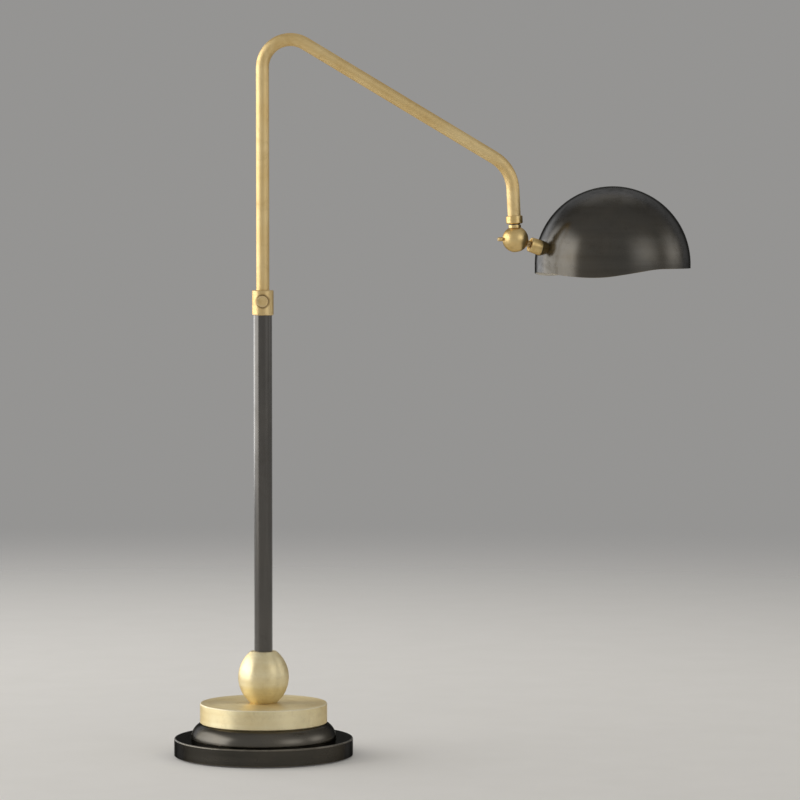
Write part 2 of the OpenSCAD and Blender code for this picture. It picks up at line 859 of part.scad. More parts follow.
// Strap bent from the nut to the lampholder, as an outline in the head's XZ plane
module holder_bracket() {
    foot_low = 7;
    foot_high = 9;
    cs = cos(cup_slope);
    sn = sin(cup_slope);
    near = strap_along;
    far = strap_along + strap_t;
    corner = [near * cs + foot_high * sn, foot_high * cs - near * sn];
    shelf_z = corner[1];
    inner = (shelf_z - strap_t + far * sn) / cs;
    top_z = holder_z + holder_r;
    color(steel) at_head() difference() {
        rotate([90, 0, 0]) translate([0, 0, -strap_w / 2]) linear_extrude(strap_w) polygon([
            [near * cs - foot_low * sn, -foot_low * cs - near * sn],
            corner,
            [holder_x - strap_t, shelf_z],
            [holder_x - strap_t, top_z],
            [holder_x, top_z],
            [holder_x, shelf_z - strap_t],
            [far * cs + inner * sn, shelf_z - strap_t],
            [far * cs - foot_low * sn, -foot_low * cs - far * sn]]);
        rotate([0, 90 + cup_slope, 0]) cylinder(r = nipple_r + fit, h = nipple_out);
        translate([holder_x, 0, holder_z]) holder_screw_places()
            along_x(holder_screw_r + fit, -strap_t - over, over);
    }
}

module holder_screw_places() {
    for (side = [-1, 1])
        translate([0, side * holder_screw_y, 0]) children();
}

module holder_screws() {
    head_r = 2.8;
    head_t = 2;
    color(steel) at_holder() holder_screw_places() {
        along_x(holder_screw_r, -strap_t, holder_screw_len - strap_t);
        along_x(head_r, -strap_t - head_t, -strap_t);
    }
}

module lampholder() {
    color(phenolic) at_holder() difference() {
        union() {
            along_x(holder_r, 0, holder_len);
            translate([key_x, 0, 0]) along_y(key_boss_r, -key_boss_y, 0);
        }
        along_x(holder_bore_r, holder_wall, holder_len + over);
        along_x(contact_r + fit, holder_wall - 1, holder_len);
        holder_screw_places() along_x(holder_screw_r + fit, -over, holder_screw_len);
        translate([key_x, 0, 0]) along_y(key_shaft_r + fit, -key_boss_y - over, -holder_r + 2);
    }
}

module holder_contact() {
    color(brass) at_holder() along_x(contact_r, holder_wall - 1, holder_wall + contact_t);
}

module bulb_cap() {
    color(brass) at_holder() difference() {
        along_x(bulb_cap_d / 2, bulb_cap_in, bulb_cap_in + bulb_cap_len);
        along_x(bulb_neck_r + fit, bulb_cap_in + 1.5, bulb_cap_in + bulb_cap_len + over);
    }
}

// Half outline of the glass: a ball with a neck, along +Y of the outline
module bulb_half(wall, low) {
    neck = bulb_neck_r - wall;
    intersection() {
        union() {
            translate([0, bulb_mid]) circle(r = bulb_r - wall);
            translate([0, low]) square([neck, bulb_mid - low]);
            polygon([[0, holder_len + 2], [neck, holder_len + 2],
                [(bulb_r - wall) * cos(40), bulb_mid - (bulb_r - wall) * sin(40)], [0, bulb_mid]]);
        }
        square([bulb_r + over, holder_len + bulb_len + over]);
    }
}

module bulb_glass() {
    low = holder_len - 8;
    color(opal) at_holder() rotate([0, 90, 0]) difference() {
        rotate_extrude() bulb_half(0, low);
        rotate_extrude() bulb_half(bulb_wall, low - over);
    }
}

module switch_key() {
    color(phenolic) at_holder() translate([key_x, 0, 0]) rotate([90, 0, 0]) {
        translate([0, 0, holder_r - 1]) cylinder(r = key_shaft_r, h = key_in - holder_r + 1);
        translate([0, 0, key_in]) toothed_disc(key_r, key_len, key_flutes, 0.8);
    }
}

felt_pad();
bottom_plate();
plate_screws();
foot();
base_weight();
pipe_nut();
pipe_washer();
lamp_pipe();
cord_gland();
moulding();
plinth();
knop();
stem_plug();
stem_tube();
collar();
collar_liner();
clamp_pad();
thumb_shank();
thumb_knob();
guide_bush();
guide_rings();
arm_tube();
arm_ferrule();
swivel_washer();
swivel_spindle();
spindle_nut();
ball_housing();
ball_cap();
pivot_screw();
tilt_washers();
tilt_lock_screw();
tilt_drum();
shade_nipple();
shade_cup();
shade();
saddle_washer();
shade_nut();
holder_bracket();
holder_screws();
lampholder();
holder_contact();
bulb_cap();
bulb_glass();
switch_key();
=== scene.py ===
import math
import bmesh
import bpy
from mathutils import Matrix, Vector, noise


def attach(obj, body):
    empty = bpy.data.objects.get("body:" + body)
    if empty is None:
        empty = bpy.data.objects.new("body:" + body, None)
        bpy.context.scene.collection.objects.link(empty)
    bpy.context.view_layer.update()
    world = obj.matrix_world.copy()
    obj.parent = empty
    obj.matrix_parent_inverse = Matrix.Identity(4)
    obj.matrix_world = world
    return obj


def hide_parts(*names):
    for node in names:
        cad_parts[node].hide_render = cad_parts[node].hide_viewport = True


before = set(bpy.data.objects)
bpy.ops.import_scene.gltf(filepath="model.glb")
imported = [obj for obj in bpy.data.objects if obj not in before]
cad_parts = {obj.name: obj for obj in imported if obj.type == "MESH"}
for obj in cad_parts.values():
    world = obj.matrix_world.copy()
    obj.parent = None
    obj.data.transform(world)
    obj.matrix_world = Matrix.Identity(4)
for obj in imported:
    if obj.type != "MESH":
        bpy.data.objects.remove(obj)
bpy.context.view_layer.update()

scene = bpy.context.scene
scene.view_settings.view_transform = "Standard"
print("frame loaded:", len(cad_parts), "nodes")

photoCamera = {"place": (0.1373, -3.7, 0.548), "pitchDown": 2.94, "lens": 166.32, "sensor": 36.0,
               "clipEnd": 80.0}


def makeCamera(look):
    data = bpy.data.cameras.new("photoCamera")
    data.lens = look["lens"]
    data.sensor_width = look["sensor"]
    data.clip_end = look["clipEnd"]
    ob = bpy.data.objects.new("photoCamera", data)
    ob.location = look["place"]
    ob.rotation_euler = (math.radians(90.0 - look["pitchDown"]), 0.0, 0.0)
    scene.collection.objects.link(ob)
    scene.camera = ob


makeCamera(photoCamera)
print("camera set")


def addNode(tree, kind, ins=None, **props):  # a node with its settings, plain values and links
    made = tree.nodes.new(kind)
    for key, value in props.items():
        setattr(made, key, value)
    for key, value in (ins or {}).items():
        if isinstance(value, bpy.types.NodeSocket):
            tree.links.new(value, made.inputs[key])
        else:
            made.inputs[key].default_value = value
    return made


def calc(tree, operation, a, b=0.0, clamp=False):
    return addNode(tree, "ShaderNodeMath", {0: a, 1: b}, operation=operation, use_clamp=clamp).outputs[0]


def spread(tree, value, low, high, outLow=0.0, outHigh=1.0, smooth=False):  # map a range to another
    made = addNode(tree, "ShaderNodeMapRange", {"Value": value, "From Min": low, "From Max": high,
                                                "To Min": outLow, "To Max": outHigh}, clamp=True)
    made.interpolation_type = "SMOOTHSTEP" if smooth else "LINEAR"
    return made.outputs[0]


def blendColour(tree, factor, a, b):
    made = addNode(tree, "ShaderNodeMix", {0: factor, 6: a, 7: b}, data_type="RGBA")
    return made.outputs[2]


def vector(tree, x, y, z):
    return addNode(tree, "ShaderNodeCombineXYZ", {0: x, 1: y, 2: z}).outputs[0]


def parted(tree, value):
    return addNode(tree, "ShaderNodeSeparateXYZ", {0: value}).outputs


def grainNoise(tree, place, scale, detail=2.0, rough=0.5, w=None):
    made = addNode(tree, "ShaderNodeTexNoise", {"Vector": place}, noise_dimensions="3D" if w is None else "4D")
    made.inputs["Scale"].default_value = scale
    made.inputs["Detail"].default_value = detail
    made.inputs["Roughness"].default_value = rough
    if w is not None:
        tree.links.new(w, made.inputs["W"])
    return made.outputs[0]


def rgb(r, g, b):  # a colour as it looks on screen, 0 to 255
    def linear(v):
        v /= 255.0
        return v / 12.92 if v <= 0.04045 else ((v + 0.055) / 1.055) ** 2.4
    return (linear(r), linear(g), linear(b), 1.0)


def newGroup(name, inputs, outputs):
    tree = bpy.data.node_groups.new(name, "ShaderNodeTree")
    for label, kind, value in inputs:
        made = tree.interface.new_socket(label, in_out="INPUT", socket_type="NodeSocket" + kind)
        if value is not None:
            made.default_value = value
    for label in outputs:
        tree.interface.new_socket(label, in_out="OUTPUT", socket_type="NodeSocketFloat")
    return tree, tree.nodes.new("NodeGroupInput").outputs, tree.nodes.new("NodeGroupOutput").inputs


def useGroup(tree, group, ins):
    return addNode(tree, "ShaderNodeGroup", ins, node_tree=group).outputs


def share(tree, value, part):  # a part of a value or mask
    return calc(tree, "MULTIPLY", value, part)


def lengthOf(tree, value):
    return addNode(tree, "ShaderNodeVectorMath", {0: value}, operation="LENGTH").outputs["Value"]


def blendValue(tree, factor, a, b):
    return addNode(tree, "ShaderNodeMix", {0: factor, 2: a, 3: b}, data_type="FLOAT").outputs[0]


streakRange = (0.3, 0.7)
turnedLook = {"fineness": 1500.0, "wander": 0.6, "wideShare": 0.19, "smallest": 0.00001}


def makeTurnedMarks(look):  # fine rings left by a lathe or a turning brush, about the Z axis of Place
    tree, ins, outs = newGroup("turnedMarks", [("Place", "Vector", None), ("Fineness", "Float", look["fineness"]),
                                               ("Wander", "Float", look["wander"])], ["Height", "Streak"])
    x, y, z = parted(tree, ins["Place"])
    out = lengthOf(tree, vector(tree, x, y, 0.0))
    safe = calc(tree, "MAXIMUM", out, look["smallest"])
    across = calc(tree, "MULTIPLY", calc(tree, "DIVIDE", x, safe), ins["Wander"])
    along = calc(tree, "MULTIPLY", calc(tree, "DIVIDE", y, safe), ins["Wander"])
    fineR = calc(tree, "MULTIPLY", out, ins["Fineness"])
    fineZ = calc(tree, "MULTIPLY", z, ins["Fineness"])
    fine = grainNoise(tree, vector(tree, fineR, fineZ, across), 1.0, detail=3.0, rough=0.65, w=along)
    wideR = share(tree, fineR, look["wideShare"])
    wideZ = share(tree, fineZ, look["wideShare"])
    wide = grainNoise(tree, vector(tree, wideR, wideZ, across), 1.0, detail=2.0, rough=0.6, w=along)
    tree.links.new(fine, outs["Height"])
    tree.links.new(spread(tree, wide, *streakRange), outs["Streak"])
    return tree


drawnLook = {"fineness": 1800.0, "stretch": 12.0, "wideShare": 0.22}


def makeDrawnMarks(look):  # long fine lines left by drawing a tube, along the Z axis of Place
    tree, ins, outs = newGroup("drawnMarks", [("Place", "Vector", None), ("Fineness", "Float", look["fineness"]),
                                              ("Stretch", "Float", look["stretch"])], ["Height", "Streak"])
    x, y, z = parted(tree, ins["Place"])
    fineX = calc(tree, "MULTIPLY", x, ins["Fineness"])
    fineY = calc(tree, "MULTIPLY", y, ins["Fineness"])
    run = calc(tree, "MULTIPLY", z, ins["Stretch"])
    fine = grainNoise(tree, vector(tree, fineX, fineY, run), 1.0, detail=3.0, rough=0.65)
    wideX = share(tree, fineX, look["wideShare"])
    wideY = share(tree, fineY, look["wideShare"])
    wide = grainNoise(tree, vector(tree, wideX, wideY, run), 1.0, detail=2.0, rough=0.6)
    tree.links.new(fine, outs["Height"])
    tree.links.new(spread(tree, wide, *streakRange), outs["Streak"])
    return tree


handledLook = {"slowScale": 22.0, "slowRough": 0.55, "mottle": (0.32, 0.68), "markScale": 65.0, "markRough": 0.7,
               "markBend": 0.8, "smudge": (0.45, 0.75)}


def makeHandled(look):  # slow changes left by hands, lacquer and years
    tree, ins, outs = newGroup("handled", [("Place", "Vector", None), ("Scale", "Float", 1.0)],
                               ["Mottle", "Smudge"])
    slow = addNode(tree, "ShaderNodeTexNoise", {"Vector": ins["Place"], "Detail": 4.0, "Roughness": look["slowRough"],
                                                "Scale": calc(tree, "MULTIPLY", ins["Scale"], look["slowScale"])})
    mark = addNode(tree, "ShaderNodeTexNoise", {"Vector": ins["Place"], "Detail": 5.0, "Roughness": look["markRough"],
                                                "Distortion": look["markBend"],
                                                "Scale": calc(tree, "MULTIPLY", ins["Scale"], look["markScale"])})
    tree.links.new(spread(tree, slow.outputs[0], *look["mottle"], smooth=True), outs["Mottle"])
    tree.links.new(spread(tree, mark.outputs[0], *look["smudge"], smooth=True), outs["Smudge"])
    return tree


edgeLook = {"radius": 0.0012, "breakup": 140.0, "bend": (0.995, 0.90), "patches": (0.35, 0.62), "samples": 6}


def makeEdgeWear(look):  # rubbed edges, broken up by noise
    tree, ins, outs = newGroup("edgeWear", [("Place", "Vector", None), ("Radius", "Float", look["radius"]),
                                            ("Breakup", "Float", look["breakup"])], ["Mask"])
    soft = addNode(tree, "ShaderNodeBevel", {"Radius": ins["Radius"]}, samples=look["samples"])
    true = addNode(tree, "ShaderNodeNewGeometry")
    dot = addNode(tree, "ShaderNodeVectorMath", {0: soft.outputs[0], 1: true.outputs["Normal"]},
                  operation="DOT_PRODUCT")
    bend = spread(tree, dot.outputs["Value"], *look["bend"])
    patches = addNode(tree, "ShaderNodeTexNoise", {"Vector": ins["Place"], "Scale": ins["Breakup"],
                                                   "Detail": 4.0, "Roughness": 0.65})
    worn = spread(tree, patches.outputs[0], *look["patches"])
    tree.links.new(calc(tree, "MULTIPLY", bend, worn), outs["Mask"])
    return tree


rimShineLook = {"radius": 0.0895, "height": 0.0175, "width": 0.0012, "near": (1.0, 0.35), "patchScale": 70.0,
           "patches": (0.3, 0.6), "shineAndRub": (0.45, 1.0)}


def makeRimShineAndWear(look):  # a rounded rim about the Z axis: a painted highlight line, broken into patches of rubbed wear
    tree, ins, outs = newGroup("rimShineAndWear", [("Place", "Vector", None), ("Radius", "Float", look["radius"]),
                                           ("Height", "Float", look["height"]),
                                           ("Width", "Float", look["width"])], ["Mask"])
    x, y, z = parted(tree, ins["Place"])
    out = lengthOf(tree, vector(tree, x, y, 0.0))
    off = vector(tree, calc(tree, "SUBTRACT", out, ins["Radius"]), calc(tree, "SUBTRACT", z, ins["Height"]), 0.0)
    near = spread(tree, calc(tree, "DIVIDE", lengthOf(tree, off), ins["Width"]), *look["near"], smooth=True)
    patches = grainNoise(tree, ins["Place"], look["patchScale"], detail=5.0, rough=0.7)
    worn = spread(tree, patches, *look["patches"], *look["shineAndRub"])
    tree.links.new(calc(tree, "MULTIPLY", near, worn), outs["Mask"])
    return tree


turnedMarks = makeTurnedMarks(turnedLook)
drawnMarks = makeDrawnMarks(drawnLook)
handled = makeHandled(handledLook)
edgeWear = makeEdgeWear(edgeLook)
rimShineAndWear = makeRimShineAndWear(rimShineLook)
print("shared effects built")


def newMaterial(name):
    made = bpy.data.materials.new(name)
    made.use_nodes = True
    tree = made.node_tree
    shader = tree.nodes["Principled BSDF"]
    place = addNode(tree, "ShaderNodeTexCoord").outputs["Object"]
    return made, tree, shader, place


def plug(tree, shader, **links):
    for label, value in links.items():
        key = label[0].upper() + label[1:]
        key = {"BaseColor": "Base Color", "CoatWeight": "Coat Weight"}.get(key, key)
        tree.links.new(value, shader.inputs[key])


def setPlain(shader, values):  # what is the same all over stays on the shader itself
    for key, value in values.items():
        shader.inputs[key].default_value = value


def shapeNormal(tree, height, strength, distance, softEdge=0.0005):  # fine relief on softened edges
    soft = addNode(tree, "ShaderNodeBevel", {"Radius": softEdge}, samples=4)
    bump = addNode(tree, "ShaderNodeBump", {"Height": height, "Normal": soft.outputs[0]})
    bump.inputs["Strength"].default_value = strength
    bump.inputs["Distance"].default_value = distance
    return bump.outputs[0]


def turnedPlace(tree, place, centre, lean):  # moves a piece's own turning axis onto Z
    made = addNode(tree, "ShaderNodeMapping", {"Vector": place}, vector_type="TEXTURE")
    made.inputs["Location"].default_value = centre
    made.inputs["Rotation"].default_value = tuple(math.radians(v) for v in lean)
    return made.outputs[0]


armLine = {"corner": 0.7395, "slope": 31.0, "reach": 0.249, "lean": 3.0, "drop": 0.5899,
           "topBend": (0.004, 0.03), "lowBend": (-0.02, 0.015)}


def armPlace(tree, place):  # across, sideways and along the bent arm tube
    x, y, z = parted(tree, place)
    cs, sn = math.cos(math.radians(armLine["slope"])), math.sin(math.radians(armLine["slope"]))
    dz = calc(tree, "SUBTRACT", z, armLine["corner"])
    across = calc(tree, "ADD", calc(tree, "MULTIPLY", x, sn), calc(tree, "MULTIPLY", dz, cs))
    along = calc(tree, "SUBTRACT", calc(tree, "MULTIPLY", x, cs), calc(tree, "MULTIPLY", dz, sn))
    onSlope = spread(tree, x, *armLine["topBend"], smooth=True)
    end = armLine["reach"] / cs
    onDrop = spread(tree, along, *(end + off for off in armLine["lowBend"]), smooth=True)
    upright = calc(tree, "MULTIPLY", x, -1.0)
    lean = math.tan(math.radians(armLine["lean"]))
    hang = calc(tree, "SUBTRACT", calc(tree, "ADD", x, calc(tree, "MULTIPLY", z, lean)),
                armLine["reach"] + armLine["drop"] * lean)
    made = blendValue(tree, onDrop, blendValue(tree, onSlope, upright, across), hang)
    return vector(tree, made, y, calc(tree, "SUBTRACT", along, z))


thumbHeight = 0.457
brassLook = {"pale": rgb(240, 217, 164), "deep": rgb(222, 191, 129), "worn": rgb(250, 236, 202),
             "tarnish": rgb(150, 114, 58), "edge": rgb(180, 144, 86), "roughness": 0.42, "metal": 0.92, "coat": 0.45,
             "coatRoughness": 0.32, "streakShare": 0.45, "mottleShare": 0.55, "tarnishShare": 0.16, "wornShare": 0.7,
             "wornRadius": 0.0009, "wornBreakup": 160.0, "smooth": 0.05, "streakRough": 0.09, "smudgeRough": 0.07,
             "coatLeft": 0.6, "touchScale": 1.0, "relief": 0.0004, "shineTurn": 0.25}
# rim: a painted highlight line along the plinth's top edge, partly rubbed wear
baseBrassLook = {**brassLook, "pale": rgb(250, 238, 198), "deep": rgb(237, 218, 166), "worn": rgb(253, 245, 220),
                 "tarnish": rgb(142, 117, 64), "edge": rgb(208, 186, 136), "roughness": 0.4, "metal": 0.79,
                 "rim": {"Radius": 0.0637, "Height": 0.0527, "Width": 0.0011}, "rimShineShare": 0.6, "rimShineMetal": 0.5}
jointBrassLook = {**brassLook, "pale": rgb(238, 212, 152), "deep": rgb(216, 182, 116), "edge": rgb(112, 80, 34),
                  "roughness": 0.33, "metal": 0.97, "coat": 0.3}
threadBrassLook = {**brassLook, "pale": rgb(186, 156, 98), "deep": rgb(140, 110, 62), "metal": 1.0, "coat": 0.1}
armLook = {**brassLook, "roughness": 0.5, "coat": 0.25}
# ring: painted shade round the thumb screw, on the collar's front side only
collarLook = {**brassLook, "ring": {"height": thumbHeight, "span": (0.0082, 0.006), "front": (0.0, -0.004),
                                    "colour": rgb(112, 86, 44), "share": 0.8}}


def makeBrass(name, marks, placeOf, fineness, look=brassLook, bump=0.2, anisotropy=0.0):
    made, tree, shader, place = newMaterial(name)
    lines = useGroup(tree, marks, {"Place": placeOf(tree, place), "Fineness": fineness})
    touch = useGroup(tree, handled, {"Place": place, "Scale": look["touchScale"]})
    wear = useGroup(tree, edgeWear, {"Place": place, "Radius": look["wornRadius"], "Breakup": look["wornBreakup"]})
    tone = calc(tree, "ADD", share(tree, lines["Streak"], look["streakShare"]),
                share(tree, touch["Mottle"], look["mottleShare"]))
    colour = blendColour(tree, tone, look["deep"], look["pale"])
    colour = blendColour(tree, share(tree, touch["Smudge"], look["tarnishShare"]), colour, look["tarnish"])
    colour = blendColour(tree, share(tree, wear["Mask"], look["wornShare"]), colour, look["worn"])
    rough = calc(tree, "ADD", look["roughness"] - look["smooth"], share(tree, lines["Streak"], look["streakRough"]))
    rough = calc(tree, "ADD", rough, share(tree, touch["Smudge"], look["smudgeRough"]))
    if "ring" in look:  # painted shade in a ring round the thumb screw, on the collar's front side only
        ring = look["ring"]
        x, y, z = parted(tree, place)
        away = lengthOf(tree, vector(tree, x, 0.0, calc(tree, "SUBTRACT", z, ring["height"])))
        near = spread(tree, away, *ring["span"], smooth=True)
        paintedShadeRing = calc(tree, "MULTIPLY", near, spread(tree, y, *ring["front"]))
        colour = blendColour(tree, share(tree, paintedShadeRing, ring["share"]), colour, ring["colour"])
    coat = spread(tree, touch["Smudge"], 0.0, 1.0, look["coat"], look["coat"] * look["coatLeft"])
    setPlain(shader, {"Metallic": look["metal"], "Coat Roughness": look["coatRoughness"],
                      "Specular Tint": look["edge"]})
    # a painted highlight line along the rim, partly rubbed wear, with less metal there so it shows bright
    if "rim" in look:
        shineAndRub = useGroup(tree, rimShineAndWear, {"Place": place, **look["rim"]})["Mask"]
        colour = blendColour(tree, share(tree, shineAndRub, look["rimShineShare"]), colour, look["worn"])
        plug(tree, shader, metallic=spread(tree, shineAndRub, 0.0, 1.0, look["metal"], look["rimShineMetal"]))
    plug(tree, shader, baseColor=colour, roughness=rough, coatWeight=coat,
         normal=shapeNormal(tree, lines["Height"], bump, look["relief"]))
    if anisotropy:  # turned brass shows upright bands of light
        setPlain(shader, {"Anisotropic": anisotropy, "Anisotropic Rotation": look["shineTurn"]})
        turn = addNode(tree, "ShaderNodeTangent", direction_type="RADIAL", axis="Z")
        tree.links.new(turn.outputs[0], shader.inputs["Tangent"])
    return made


# edge is a dark grazing tint and the coat fades at grazing angles: together a painted dark outline along the
# silhouette
bronzeLook = {"dark": rgb(56, 53, 46), "warm": rgb(69, 63, 52), "rub": rgb(146, 130, 102), "grey": rgb(84, 81, 75),
              "edge": (0.12, 0.12, 0.11, 1.0), "roughness": 0.25, "coat": 0.85, "coatRoughness": 0.19,
              "glossEndDarkOutline": (0.86, 0.6), "greyShare": 0.35, "rubShare": 0.75, "rubRadius": 0.0013, "rubBreakup": 120.0,
              "smooth": 0.03, "streakRough": 0.06, "smudgeRough": 0.04, "coatLeft": 0.6, "touchScale": 0.8,
              "relief": 0.0004, "softEdge": 0.0007}
# rim: a painted highlight line along the foot's top edge, partly rubbed wear
footLook = {**bronzeLook, "dark": rgb(57, 55, 50), "warm": rgb(68, 64, 57), "grey": rgb(83, 80, 74), "coat": 0.25,
            "rim": {"Radius": 0.0895, "Height": 0.0175, "Width": 0.0014}, "rimShineAndRub": rgb(158, 151, 138),
            "rimShineShare": 0.5, "rimShineMetal": 0.5}
mouldLook = {**bronzeLook, "dark": rgb(84, 81, 75), "warm": rgb(96, 91, 82), "grey": rgb(110, 107, 101),
             "coat": 0.25}
stemLook = {**bronzeLook, "dark": rgb(76, 73, 69), "warm": rgb(86, 82, 76), "grey": rgb(100, 97, 92),
            "edge": (0.8, 0.79, 0.78, 1.0), "roughness": 0.17, "coat": 1.0, "glossEndDarkOutline": (1.0, 0.84), "rubShare": 0.4}


def makeBronze(name, marks, placeOf, fineness, look, bump=0.1):
    made, tree, shader, place = newMaterial(name)
    lines = useGroup(tree, marks, {"Place": placeOf(tree, place), "Fineness": fineness})
    touch = useGroup(tree, handled, {"Place": place, "Scale": look["touchScale"]})
    wear = useGroup(tree, edgeWear, {"Place": place, "Radius": look["rubRadius"], "Breakup": look["rubBreakup"]})
    colour = blendColour(tree, touch["Mottle"], look["dark"], look["warm"])
    colour = blendColour(tree, share(tree, lines["Streak"], look["greyShare"]), colour, look["grey"])
    colour = blendColour(tree, share(tree, wear["Mask"], look["rubShare"]), colour, look["rub"])
    # a painted highlight line along the rim, partly rubbed wear, with less metal there so it shows bright
    if "rim" in look:
        shineAndRub = useGroup(tree, rimShineAndWear, {"Place": place, **look["rim"]})["Mask"]
        colour = blendColour(tree, share(tree, shineAndRub, look["rimShineShare"]), colour, look["rimShineAndRub"])
        plug(tree, shader, metallic=spread(tree, shineAndRub, 0.0, 1.0, 1.0, look["rimShineMetal"]))
    rough = calc(tree, "ADD", look["roughness"] - look["smooth"], share(tree, lines["Streak"], look["streakRough"]))
    rough = calc(tree, "ADD", rough, share(tree, touch["Smudge"], look["smudgeRough"]))
    coat = spread(tree, touch["Smudge"], 0.0, 1.0, look["coat"], look["coat"] * look["coatLeft"])
    side = addNode(tree, "ShaderNodeLayerWeight").outputs["Facing"]
    gloss = spread(tree, side, *look["glossEndDarkOutline"], smooth=True)  # the coat fades out at grazing angles: painted shade, a dark outline along the silhouette
    plug(tree, shader, baseColor=colour, roughness=rough, coatWeight=calc(tree, "MULTIPLY", coat, gloss),
         normal=shapeNormal(tree, lines["Height"], bump, look["relief"], look["softEdge"]))
    setPlain(shader, {"Metallic": 1.0, "Coat Roughness": look["coatRoughness"], "Specular Tint": look["edge"]})
    return made, tree, shader, place


shadeLook = {"centre": (0.351628, 0.028362, 0.493622), "middle": 0.0775, "blur": 0.0001, "fineness": 700.0,
             "white": rgb(236, 232, 222), "cream": rgb(224, 217, 202), "whiteRoughness": 0.42, "creamRough": 0.12,
             "cloudScale": 40.0}


def makeShadeMetal(look):  # dark outside and a light enamelled inside, told apart by the wall's own radius
    made, tree, shader, place = makeBronze("shadeBronze", turnedMarks, atShade, look["fineness"], bronzeLook)
    away = addNode(tree, "ShaderNodeVectorMath", {0: place, 1: look["centre"]}, operation="SUBTRACT").outputs[0]
    x, y, z = parted(tree, away)
    out = lengthOf(tree, vector(tree, x, y, calc(tree, "MAXIMUM", z, 0.0)))
    inside = spread(tree, out, look["middle"] + look["blur"], look["middle"] - look["blur"])
    outside = calc(tree, "SUBTRACT", 1.0, inside)
    cloud = grainNoise(tree, place, look["cloudScale"], detail=4.0, rough=0.6)
    enamel = blendColour(tree, cloud, look["white"], look["cream"])
    colour, rough, coat = (shader.inputs[key].links[0].from_socket for key in
                           ("Base Color", "Roughness", "Coat Weight"))
    paintRough = calc(tree, "ADD", look["whiteRoughness"], share(tree, cloud, look["creamRough"]))
    plug(tree, shader, baseColor=blendColour(tree, inside, colour, enamel), metallic=outside,
         roughness=blendValue(tree, inside, rough, paintRough), coatWeight=calc(tree, "MULTIPLY", coat, outside))
    return made


steelLook = {"bright": rgb(186, 188, 190), "dull": rgb(140, 142, 144), "rust": rgb(120, 92, 66), "roughness": 0.34,
             "touchScale": 2.2, "rustRadius": 0.0006, "rustBreakup": 300.0, "rustShare": 0.3, "smudgeRough": 0.15,
             "grain": 2400.0, "bump": 0.08, "relief": 0.0002, "softEdge": 0.0003}


def makeSteel(look):
    made, tree, shader, place = newMaterial("zincSteel")
    touch = useGroup(tree, handled, {"Place": place, "Scale": look["touchScale"]})
    wear = useGroup(tree, edgeWear, {"Place": place, "Radius": look["rustRadius"], "Breakup": look["rustBreakup"]})
    grain = grainNoise(tree, place, look["grain"], detail=2.0, rough=0.6)
    colour = blendColour(tree, touch["Mottle"], look["dull"], look["bright"])
    colour = blendColour(tree, share(tree, wear["Mask"], look["rustShare"]), colour, look["rust"])
    rough = calc(tree, "ADD", look["roughness"], share(tree, touch["Smudge"], look["smudgeRough"]))
    plug(tree, shader, baseColor=colour, roughness=rough,
         normal=shapeNormal(tree, grain, look["bump"], look["relief"], look["softEdge"]))
    setPlain(shader, {"Metallic": 1.0})
    return made


grainRange = (0.3, 0.7)
ironLook = {"dark": rgb(62, 62, 64), "light": rgb(88, 86, 84), "rust": rgb(104, 72, 50), "metal": 0.6,
            "touchScale": 1.6, "sand": 900.0, "rustShare": 0.4, "rough": (0.55, 0.8), "bump": 0.5, "relief": 0.0006}


def makeIron(look):
    made, tree, shader, place = newMaterial("castIron")
    touch = useGroup(tree, handled, {"Place": place, "Scale": look["touchScale"]})
    sand = grainNoise(tree, place, look["sand"], detail=4.0, rough=0.7)
    colour = blendColour(tree, touch["Mottle"], look["dark"], look["light"])
    colour = blendColour(tree, share(tree, touch["Smudge"], look["rustShare"]), colour, look["rust"])
    plug(tree, shader, baseColor=colour, roughness=spread(tree, sand, *grainRange, *look["rough"]),
         normal=shapeNormal(tree, sand, look["bump"], look["relief"]))
    setPlain(shader, {"Metallic": look["metal"]})
    return made


nylonLook = {"milk": rgb(226, 222, 210), "warm": rgb(208, 200, 182), "touchScale": 2.0, "grain": 1500.0,
             "rough": (0.42, 0.56), "bump": 0.12, "relief": 0.0002, "softEdge": 0.0003}
blackNylonLook = {**nylonLook, "milk": rgb(44, 42, 40), "warm": rgb(58, 54, 50)}


def makeNylon(name, look):
    made, tree, shader, place = newMaterial(name)
    touch = useGroup(tree, handled, {"Place": place, "Scale": look["touchScale"]})
    grain = grainNoise(tree, place, look["grain"], detail=3.0, rough=0.6)
    colour = blendColour(tree, touch["Mottle"], look["milk"], look["warm"])
    plug(tree, shader, baseColor=colour, roughness=spread(tree, grain, *grainRange, *look["rough"]),
         normal=shapeNormal(tree, grain, look["bump"], look["relief"], look["softEdge"]))
    return made


resinLook = {"black": rgb(34, 31, 30), "brown": rgb(50, 43, 38), "dust": rgb(96, 90, 84), "roughness": 0.3,
             "touchScale": 2.4, "dustRadius": 0.0005, "dustBreakup": 260.0, "dustShare": 0.35, "smudgeRough": 0.16,
             "grain": 1100.0, "bump": 0.08, "relief": 0.0002, "softEdge": 0.0004}


def makeResin(look):
    made, tree, shader, place = newMaterial("blackResin")
    touch = useGroup(tree, handled, {"Place": place, "Scale": look["touchScale"]})
    wear = useGroup(tree, edgeWear, {"Place": place, "Radius": look["dustRadius"], "Breakup": look["dustBreakup"]})
    grain = grainNoise(tree, place, look["grain"], detail=3.0, rough=0.6)
    colour = blendColour(tree, touch["Mottle"], look["black"], look["brown"])
    colour = blendColour(tree, share(tree, wear["Mask"], look["dustShare"]), colour, look["dust"])
    rough = calc(tree, "ADD", look["roughness"], share(tree, touch["Smudge"], look["smudgeRough"]))
    plug(tree, shader, baseColor=colour, roughness=rough,
         normal=shapeNormal(tree, grain, look["bump"], look["relief"], look["softEdge"]))
    return made


feltLook = {"green": rgb(38, 42, 38), "grey": rgb(58, 62, 57), "fibre": 1800.0, "tuft": 260.0, "tuftShare": 0.6,
            "mix": (0.5, 1.1), "rough": (0.86, 0.98), "bump": 0.6, "relief": 0.0008, "sheen": 0.35,
            "sheenRoughness": 0.5}


